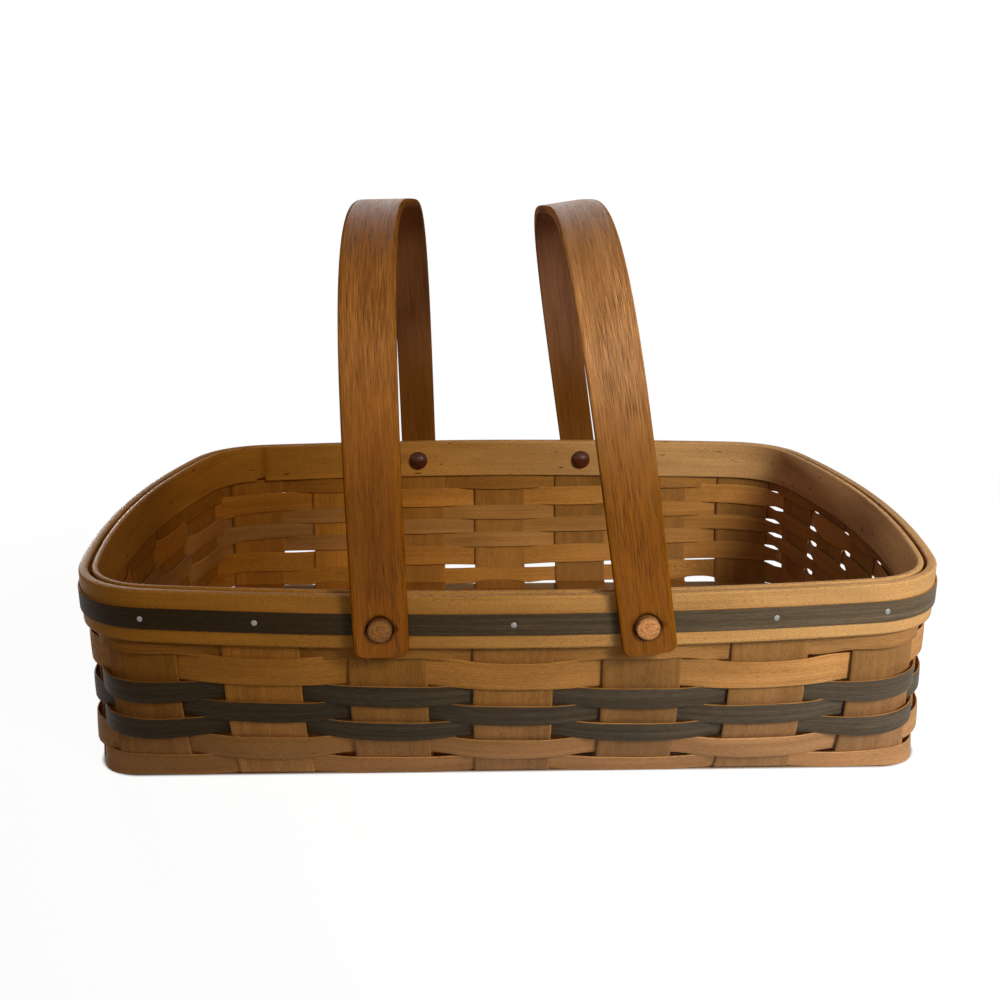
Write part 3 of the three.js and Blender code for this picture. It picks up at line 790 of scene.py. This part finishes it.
# Materials
class Shader:
    """Adds nodes to a material or a world and joins them."""

    def __init__(self, owner):
        self.owner = owner
        owner.use_nodes = True
        self.tree = owner.node_tree
        self.tree.nodes.clear()

    def add(self, kind, inputs=None, **settings):
        node = self.tree.nodes.new(kind)
        for key, value in settings.items():
            setattr(node, key, value)
        for key, value in (inputs or {}).items():
            if isinstance(value, bpy.types.NodeSocket):
                self.tree.links.new(value, node.inputs[key])
            else:
                node.inputs[key].default_value = value
        return node

    def attribute(self, name):
        return self.add("ShaderNodeAttribute", attribute_name=name).outputs["Vector"]

    def split(self, vector):
        return self.add("ShaderNodeSeparateXYZ", {0: vector}).outputs

    def stretch(self, vector, factors):
        inputs = {0: vector, 1: factors}
        return self.add("ShaderNodeVectorMath", inputs, operation="MULTIPLY").outputs[0]

    def length(self, vector):
        return self.add("ShaderNodeVectorMath", {0: vector}, operation="LENGTH").outputs["Value"]

    def noise(self, vector, scale=1.0, detail=3.0, roughness=0.55):
        inputs = {"Vector": vector, "Scale": scale, "Detail": detail, "Roughness": roughness}
        return self.add("ShaderNodeTexNoise", inputs).outputs["Fac"]

    def math(self, operation, a, b=0.0):
        return self.add("ShaderNodeMath", {0: a, 1: b}, operation=operation).outputs[0]

    def times(self, a, b):
        return self.math("MULTIPLY", a, b)

    def ranged(self, value, low, high, to_low=0.0, to_high=1.0):
        inputs = {0: value, 1: low, 2: high, 3: to_low, 4: to_high}
        return self.add("ShaderNodeMapRange", inputs, interpolation_type="SMOOTHSTEP").outputs[0]

    def mix(self, factor, a, b, blend="MIX"):
        a, b = (c if isinstance(c, bpy.types.NodeSocket) else (*c, 1) for c in (a, b))
        inputs = {0: factor, 6: a, 7: b}
        return self.add("ShaderNodeMix", inputs, data_type="RGBA", blend_type=blend).outputs[2]

    def darken(self, colour, factor):
        """Multiplies a colour by a grey level."""
        grey = self.add("ShaderNodeCombineXYZ", {0: factor, 1: factor, 2: factor}).outputs[0]
        return self.mix(1.0, colour, grey, "MULTIPLY")

    def tint(self, colour, factor, by):
        """Multiplies a colour by a tint, as far as the factor says."""
        return self.mix(1.0, colour, self.mix(factor, (1, 1, 1), by), "MULTIPLY")

    def surface(self, colour, roughness, height, distance, specular=0.5, metallic=0.0):
        bump = self.add("ShaderNodeBump", {"Height": height, "Distance": distance, "Strength": 0.6})
        inputs = {"Base Color": colour, "Roughness": roughness, "Normal": bump.outputs[0]}
        inputs.update({"Specular IOR Level": specular, "Metallic": metallic})
        shader = self.add("ShaderNodeBsdfPrincipled", inputs)
        self.add("ShaderNodeOutputMaterial", {"Surface": shader.outputs[0]})
        return self.owner


# Spans in metres over which a finish or its painted light changes, from left to right or up the basket
SIDE_LIGHT_SPAN = (-0.2, 0.21)
FOOT_SPAN = (0.008, 0.065)
HANDLE_SPAN = (-0.05, 0.05)
LIT_TOP_SPAN = (0.13, 0.22)
SHEEN_START = (0.165, 0.21)
SHEEN_END = (0.235, 0.265)


def new_shader(name):
    return Shader(bpy.data.materials.new(name))


def object_place(shader):
    return shader.add("ShaderNodeTexCoord").outputs["Object"]


def wood_grain(shader, grain, pale, dark, line, fleck_rate, fleck_share):
    """Colour and height of plain wood: soft clouds, long bands, fine lines and short flecks."""
    bands = shader.noise(shader.stretch(grain, (0.006, line * 0.3, 0.3)), detail=2.0)
    lines = shader.noise(shader.stretch(grain, (0.025, line, 0.6)), detail=3.0, roughness=0.65)
    fleck_place = shader.stretch(grain, (fleck_rate, line * 2, 1.0))
    flecks = shader.noise(fleck_place, detail=3.0, roughness=0.75)
    cloud = shader.noise(shader.stretch(grain, (0.012, 0.06, 0.2)), detail=2.0)
    rest = (1 - fleck_share) / 2
    mixed = shader.math("ADD", shader.times(bands, rest), shader.times(lines, rest))
    mixed = shader.math("ADD", mixed, shader.times(flecks, fleck_share))
    colour = shader.mix(shader.ranged(mixed, 0.36, 0.64), dark, pale)
    colour = shader.darken(colour, shader.ranged(cloud, 0.3, 0.7, 0.86, 1.12))
    return colour, shader.math("ADD", lines, flecks), mixed


def pores(shader, grain, colour, height, length, rate, depth):
    """Short dark pores that crowd together here and there."""
    pit = shader.noise(shader.stretch(grain, (1 / length, rate, 1.0)), detail=2.0)
    crowd = shader.noise(shader.stretch(grain, (0.014, 0.09, 0.4)), detail=2.0)
    edge = shader.ranged(crowd, 0.35, 0.7, 0.6, 0.5)
    open_pore = shader.ranged(shader.math("SUBTRACT", pit, edge), 0.0, 0.09)
    depth_here = shader.times(open_pore, depth)
    height = shader.math("SUBTRACT", height, shader.times(depth_here, 2.0))
    return shader.darken(colour, shader.math("SUBTRACT", 1.0, depth_here)), height


def piece_tone(shader, colour, mask):
    """Per-piece lightness, painted shade along the lower edge of a strip and a painted highlight along
    its upper edge.
    """
    _, edge, tone = shader.split(mask)
    colour = shader.darken(colour, shader.ranged(tone, 0.0, 1.0, 0.7, 1.3))
    colour = shader.darken(colour, shader.ranged(edge, -1.0, -0.88, 0.66, 1.0))
    return shader.darken(colour, shader.ranged(edge, 0.93, 1.0, 1.0, 1.2))


def painted_side_light(shader, colour, left_painted_tint, right_painted_tint):
    """Painted light: the left of the basket is tinted darker and warmer as painted shade, and the right
    paler as painted light.
    """
    share = shader.ranged(shader.split(object_place(shader))[0], *SIDE_LIGHT_SPAN)
    return shader.mix(1.0, colour, shader.mix(share, left_painted_tint, right_painted_tint), "MULTIPLY")


def natural_wood(name, pale, dark, line):
    """Splint wood, greyer toward the foot of the outside, with less of the painted side light there,
    and warmer inside faces as painted shade.
    """
    shader = new_shader(name)
    grain, mask = shader.attribute("grain"), shader.attribute("mask")
    colour, height, mixed = wood_grain(shader, grain, pale, dark, line, 0.4, 0.6)
    colour, height = pores(shader, grain, colour, height, 5, 3.6, 0.2)
    colour = piece_tone(shader, colour, mask)
    foot = shader.ranged(shader.split(object_place(shader))[2], *FOOT_SPAN, 1.0, 0.0)
    outside = shader.ranged(shader.split(mask)[0], 0.3, 0.7)
    low = shader.times(foot, outside)
    colour = shader.tint(colour, low, (1.08, 1.22, 2.05))
    # inside faces warmer: painted shade
    inside_shade = shader.mix(1.0, colour, (1.0, 0.92, 0.65), "MULTIPLY")
    colour = shader.mix(outside, inside_shade, colour)
    # painted shade on the left of the basket and painted light on its right, less of it toward the foot
    side_lit = painted_side_light(shader, colour, (1.0, 0.93, 0.62), (1.0, 1.1, 1.6))
    colour = shader.mix(shader.times(low, 0.7), side_lit, colour)
    rough = shader.ranged(mixed, 0.3, 0.7, 0.6, 0.46)
    return shader.surface(colour, rough, height, 0.00014, 0.05)


def band_wood(name, pale, dark):
    """Bentwood with a fine sandy figure and a few small knots."""
    shader = new_shader(name)
    grain, mask = shader.attribute("grain"), shader.attribute("mask")
    colour, height, mixed = wood_grain(shader, grain, pale, dark, 1.5, 0.8, 0.66)
    colour, height = pores(shader, grain, colour, height, 2, 2.4, 0.25)
    knot = shader.noise(shader.stretch(grain, (0.1, 0.34, 0.3)), detail=1.0)
    inside = shader.ranged(shader.split(mask)[0], 0.2, 0.5, 1.0, 0.0)
    dark_knot = shader.times(shader.ranged(knot, 0.72, 0.75, 0.0, 0.6), inside)
    colour = shader.darken(colour, shader.math("SUBTRACT", 1.0, dark_knot))
    colour = piece_tone(shader, colour, mask)
    # painted shade on the left of the bands and painted light on their right
    colour = painted_side_light(shader, colour, (0.98, 0.83, 0.36), (1.08, 1.22, 1.85))
    rough = shader.ranged(mixed, 0.3, 0.7, 0.55, 0.42)
    return shader.surface(colour, rough, height, 0.0001, 0.06)


def stained_wood(name, pale, dark, stain, light_blend, lit_upper_edge):
    """Natural wood with a stain on its outer face, thinned along the upper edge as a painted highlight.
    """
    shader = new_shader(name)
    grain, mask = shader.attribute("grain"), shader.attribute("mask")
    colour, height, mixed = wood_grain(shader, grain, pale, dark, 1.6, 0.25, 0.4)
    colour = piece_tone(shader, colour, mask)
    stain = shader.mix(shader.ranged(mixed, 0.42, 0.66), stain[1], stain[0])
    scratch = shader.noise(shader.stretch(grain, (0.06, 3.2, 1.0)), detail=2.0)
    stain = shader.mix(shader.ranged(scratch, 0.62, 0.72, 0.0, 0.16), stain, dark)
    face, edge, _ = shader.split(mask)
    cover = shader.ranged(face, 0.55, 0.95)
    if lit_upper_edge:
        # painted highlight: the stain thins along the upper edge
        edge_break = shader.noise(shader.stretch(grain, (0.08, 0.8, 1.0)))
        edge_light = shader.math("ADD", edge, shader.times(edge_break, 0.12))
        cover = shader.times(cover, shader.ranged(edge_light, 1.0, 1.05, 1.0, 0.4))
    # painted shade on the left of the stain and painted light on its right
    stain = painted_side_light(shader, stain, *light_blend)
    colour = shader.mix(cover, colour, stain)
    rough = shader.ranged(mixed, 0.3, 0.7, 0.6, 0.46)
    return shader.surface(colour, rough, height, 0.00014, 0.06)


def peg_stain(shader, colour):
    """Dark stain on a handle leg round the hole of its peg."""
    x, _, z = shader.split(object_place(shader))
    aside = shader.math("SUBTRACT", shader.math("ABSOLUTE", x), PIVOT_X * MILLIMETRE)
    above = shader.math("SUBTRACT", z, PIVOT_HEIGHT * MILLIMETRE)
    offset = shader.add("ShaderNodeCombineXYZ", {0: aside, 1: above}).outputs[0]
    away = shader.length(offset)
    hole = PEG_HOLE_RADIUS * MILLIMETRE
    return shader.darken(colour, shader.ranged(away, hole, hole * 1.35, 0.42, 1.0))


def handle_painted_light(shader, grain, colour, outside):
    """A handle's colour with painted light: paler toward the top as painted light from above, the right
    handle darker low down as painted shade and paler high up as painted sheen, and painted sheen
    streaks on the outer face.
    """
    x, _, z = shader.split(object_place(shader))
    on_right = shader.ranged(x, *HANDLE_SPAN)
    paler = shader.mix(on_right, (1.56, 1.8, 4.2), (1.6, 2.0, 6.5))
    high = shader.ranged(z, *LIT_TOP_SPAN)
    # painted light: paler toward the top of the arch
    colour = shader.tint(colour, high, paler)
    right_painted_tint = shader.mix(high, (0.78, 0.8, 0.72), (1.0, 1.13, 1.6))
    # painted shade low on the right handle and painted sheen high on it
    colour = shader.tint(colour, shader.times(on_right, outside), right_painted_tint)
    sheen_noise = shader.noise(shader.stretch(grain, (0.09, 3.6, 1.0)), detail=2.0)
    sheen_band = shader.times(shader.ranged(z, *SHEEN_START), shader.ranged(z, *SHEEN_END, 1.0, 0.0))
    streak = shader.times(shader.ranged(sheen_noise, 0.46, 0.62), shader.times(sheen_band, outside))
    # painted sheen in pale streaks along the grain
    return shader.tint(colour, streak, (1.45, 1.6, 1.9))


def handle_wood(name, pale, dark):
    """Open-grained bentwood with a satin sheen on its outer face, partly gloss and partly painted
    sheen, darker inside the arch.
    """
    shader = new_shader(name)
    grain, mask = shader.attribute("grain"), shader.attribute("mask")
    colour, height, mixed = wood_grain(shader, grain, pale, dark, 0.9, 0.06, 0.5)
    face, edge, _ = shader.split(mask)
    outside = shader.ranged(face, 0.5, 0.95)
    depth = shader.times(outside, 0.5)
    colour, height = pores(shader, grain, colour, height, 12, 3.3, depth)
    colour = handle_painted_light(shader, grain, colour, outside)
    inside = shader.math("SUBTRACT", 1.0, outside)
    colour = shader.tint(colour, inside, (0.54, 0.6, 1.3))
    rough = shader.ranged(mixed, 0.36, 0.64, 0.42, 0.25)
    flat = shader.ranged(shader.math("ABSOLUTE", edge), 0.84, 0.92, 0.12, 0.0)
    sheen = shader.times(flat, outside)
    return shader.surface(peg_stain(shader, colour), rough, height, 0.00022, sheen)


def peg_wood(name, end_pale, end_dark, head_pale, head_dark):
    """Pegs: cracked and speckled end grain outside, and a dark polished head inside."""
    shader = new_shader(name)
    turned = shader.attribute("turned")
    speck = shader.noise(turned, 1.6, 4.0, 0.75)
    radial = shader.stretch(turned, (0, 1, 1))
    ring = shader.length(radial)
    colour = shader.mix(shader.ranged(speck, 0.36, 0.62), end_dark, end_pale)
    vein = shader.noise(shader.stretch(turned, (1, 0.16, 0.5)), detail=2.0)
    crack = shader.math("ABSOLUTE", shader.math("SUBTRACT", vein, 0.5))
    colour = shader.darken(colour, shader.ranged(crack, 0.0, 0.022, 0.35, 1.0))
    # painted shade: the peg end darkens toward its rim and side, as in the gap round it
    colour = shader.darken(colour, shader.ranged(ring, 4.3, 5.6, 1.0, 0.5))
    # the left pegs' ends darker as painted shade and the right ones paler as painted light
    colour = painted_side_light(shader, colour, (0.45, 0.4, 0.15), (1.8, 1.8, 2.4))
    is_end = shader.ranged(shader.split(turned)[0], 0.2, 0.8)
    head = shader.mix(shader.ranged(speck, 0.3, 0.7), head_dark, head_pale)
    rough = shader.ranged(is_end, 0.0, 1.0, 0.22, 0.6)
    return shader.surface(shader.mix(is_end, head, colour), rough, speck, 0.0002, 0.2)


def tack_steel():
    shader = new_shader("tack_steel_finish")
    scuff = shader.noise(object_place(shader), 2200.0, 3.0)
    colour = shader.mix(shader.ranged(scuff, 0.35, 0.65), (0.22, 0.2, 0.18), (0.4, 0.38, 0.35))
    rough = shader.ranged(scuff, 0.3, 0.7, 0.65, 0.45)
    return shader.surface(colour, rough, scuff, 0.0001, metallic=0.5)


# Stage: floor, light and camera
CAMERA_PLACE = (-15.4, -614.59, 279.7)
CAMERA_YAW = 1.165
CAMERA_PITCH = 15.87
CAMERA_ROLL = -0.09
CAMERA_LENS = 37.78
FLOOR_REACH = 30


def seen_directly(shader):
    """1 for rays from the camera, from gloss and through glass, and 0 for light on the object."""
    path = shader.add("ShaderNodeLightPath").outputs
    direct = shader.math("MAXIMUM", path["Is Camera Ray"], path["Is Glossy Ray"])
    return shader.math("MAXIMUM", direct, path["Is Transmission Ray"])


def beside_base(shader, place):
    """Distance from the foot of the basket, negative under it."""
    corner = BASE_CORNER_REACH
    x, y, _ = shader.split(place)
    over = []
    for spot, length in ((x, BASE_LENGTH), (y, BASE_WIDTH)):
        straight = (length / 2 - corner) * MILLIMETRE
        past = shader.math("SUBTRACT", shader.math("ABSOLUTE", spot), straight)
        over.append(shader.math("MAXIMUM", past, 0.0))
    offset = shader.add("ShaderNodeCombineXYZ", {0: over[0], 1: over[1]}).outputs[0]
    away = shader.length(offset)
    return shader.math("SUBTRACT", away, corner * MILLIMETRE)


def make_floor():
    """A pale floor, seen as white, with a painted shadow under the basket's outline as well as the
    faint shadow that the lamps cast.
    """
    shader = new_shader("floor_finish")
    place = shader.add("ShaderNodeNewGeometry").outputs["Position"]
    distance = shader.length(place)
    plain = shader.add("ShaderNodeBsdfDiffuse", {"Color": (0.75, 0.75, 0.75, 1)})
    # painted shadow: under the basket's outline the floor gets no glow and a brown colour
    clear = shader.ranged(beside_base(shader, place), 0.0, 0.003)
    tone = shader.mix(clear, (0.3, 0.18, 0.09), (0.2, 0.2, 0.2))
    shade = shader.add("ShaderNodeBsdfDiffuse", {"Color": tone})
    glow = shader.times(clear, 0.94)
    lift = shader.add("ShaderNodeEmission", {"Color": (1, 1, 1, 1), "Strength": glow})
    white = shader.add("ShaderNodeEmission", {"Color": (1, 1, 1, 1), "Strength": 1.0})
    near = shader.add("ShaderNodeAddShader", {0: shade.outputs[0], 1: lift.outputs[0]})
    light_blend = shader.ranged(distance, 0.35, 0.75)
    shown = shader.add("ShaderNodeMixShader", {0: light_blend, 1: near.outputs[0], 2: white.outputs[0]})
    both = {0: seen_directly(shader), 1: plain.outputs[0], 2: shown.outputs[0]}
    surface = shader.add("ShaderNodeMixShader", both).outputs[0]
    shader.add("ShaderNodeOutputMaterial", {"Surface": surface})
    mesh = bpy.data.meshes.new("floor")
    signs = ((-1, -1), (1, -1), (1, 1), (-1, 1))
    corners = [(x * FLOOR_REACH, y * FLOOR_REACH, 0) for x, y in signs]
    mesh.from_pydata(corners, [], [(0, 1, 2, 3)])
    mesh.materials.append(shader.owner)
    add_object("floor", mesh)


def make_world(colour, strength):
    """Soft light from all round, with white for what is seen directly."""
    shader = Shader(bpy.data.worlds.new("studio"))
    light = shader.add("ShaderNodeBackground", {"Color": (*colour, 1), "Strength": strength})
    white = shader.add("ShaderNodeBackground", {"Color": (1, 1, 1, 1), "Strength": 1.0})
    both = {0: seen_directly(shader), 1: light.outputs[0], 2: white.outputs[0]}
    surface = shader.add("ShaderNodeMixShader", both).outputs[0]
    shader.add("ShaderNodeOutputWorld", {"Surface": surface})
    bpy.context.scene.world = shader.owner


def aim(lamp, place, target):
    lamp.location = place
    lamp.rotation_euler = (Vector(target) - Vector(place)).to_track_quat("-Z", "Y").to_euler()
    lamp.visible_camera = False
    bpy.context.scene.collection.objects.link(lamp)


def make_spot(name, place, target, power, cone_degrees, colour):
    """A soft lamp whose light falls off toward the edge of its cone."""
    light = bpy.data.lights.new(name, "SPOT")
    light.energy = power
    light.color = colour
    light.spot_size = math.radians(cone_degrees)
    light.spot_blend = 1
    light.shadow_soft_size = 0.15
    aim(bpy.data.objects.new(name, light), place, target)


def make_fill(name, place, target, power, size, colour):
    light = bpy.data.lights.new(name, "AREA")
    light.shape = "DISK"
    light.size = size
    light.energy = power
    light.color = colour
    aim(bpy.data.objects.new(name, light), place, target)


def make_camera():
    yaw, pitch, roll = (math.radians(a) for a in (CAMERA_YAW, CAMERA_PITCH, CAMERA_ROLL))
    forward = Vector((
        math.sin(yaw) * math.cos(pitch), math.cos(yaw) * math.cos(pitch), -math.sin(pitch)))
    level = Vector((math.cos(yaw), -math.sin(yaw), 0))
    up = level.cross(forward)
    right = level * math.cos(roll) + up * math.sin(roll)
    up = right.cross(forward)
    data = bpy.data.cameras.new("camera")
    data.sensor_width = 36
    data.lens = CAMERA_LENS
    camera = bpy.data.objects.new("camera", data)
    turn = Matrix((right, up, -forward)).transposed().to_4x4()
    camera.matrix_world = Matrix.Translation(Vector(CAMERA_PLACE) * MILLIMETRE) @ turn
    bpy.context.scene.collection.objects.link(camera)
    bpy.context.scene.camera = camera


def make_stage():
    bpy.context.scene.view_settings.view_transform = "Standard"
    make_floor()
    make_world((0.85, 0.92, 1), 0.05)
    make_spot("key", (0.55, -0.8, 0.6), (0.42, -0.1, 0.06), 33, 80, (1, 0.96, 0.87))
    make_spot("side", (0.5, -1.1, 0.5), (0.25, -0.15, 0.06), 18, 34, (0.5, 0.78, 1))
    make_spot("cool", (-0.75, -0.1, 0.55), (0.22, 0.05, 0.07), 2.6, 30, (0.62, 0.58, 1))
    make_fill("fill", (-0.12, -1.25, 0.75), (0, 0, 0.1), 1.2, 0.3, (1, 0.87, 0.68))
    make_fill("back", (-0.75, 1.05, 0.16), (-0.05, 0.1, 0.06), 7, 0.25, (1, 0.97, 0.92))
    make_camera()


# Finishes: pale and dark colours of each wood, and tints at the left and the right, which paint shade
# on the left and light on the right
NATURAL = ((0.49, 0.212, 0.05), (0.34, 0.136, 0.027))
STAIN = ((0.1, 0.076, 0.047), (0.05, 0.037, 0.022))
ROW_SIDE_LIGHT = ((0.85, 0.74, 0.62), (1.5, 1.45, 1.6))
TRIM_SIDE_LIGHT = ((0.6, 0.44, 0.25), (1.95, 1.8, 1.75))
BAND = ((0.65, 0.31, 0.078), (0.45, 0.2, 0.044))
HANDLE = ((0.455, 0.14, 0.01), (0.31, 0.088, 0.0055))
PEG_END = ((0.66, 0.29, 0.08), (0.34, 0.125, 0.03))
PEG_HEAD = ((0.12, 0.028, 0.009), (0.07, 0.017, 0.006))
natural = natural_wood("natural_wood_finish", *NATURAL, 1.5)
stained = stained_wood("stained_wood_finish", *NATURAL, STAIN, ROW_SIDE_LIGHT, True)
trim = stained_wood("trim_wood_finish", *NATURAL, STAIN, TRIM_SIDE_LIGHT, False)
bands = band_wood("band_wood_finish", *BAND)
handles = handle_wood("handle_wood_finish", *HANDLE)
pegs = peg_wood("peg_wood_finish", *PEG_END, *PEG_HEAD)

# The basket and its stage
make_splints(natural)
make_weavers(natural, stained)
make_bands(bands)
make_trim(trim)
make_tacks(tack_steel())
make_handles(handles, pegs)
make_stage()
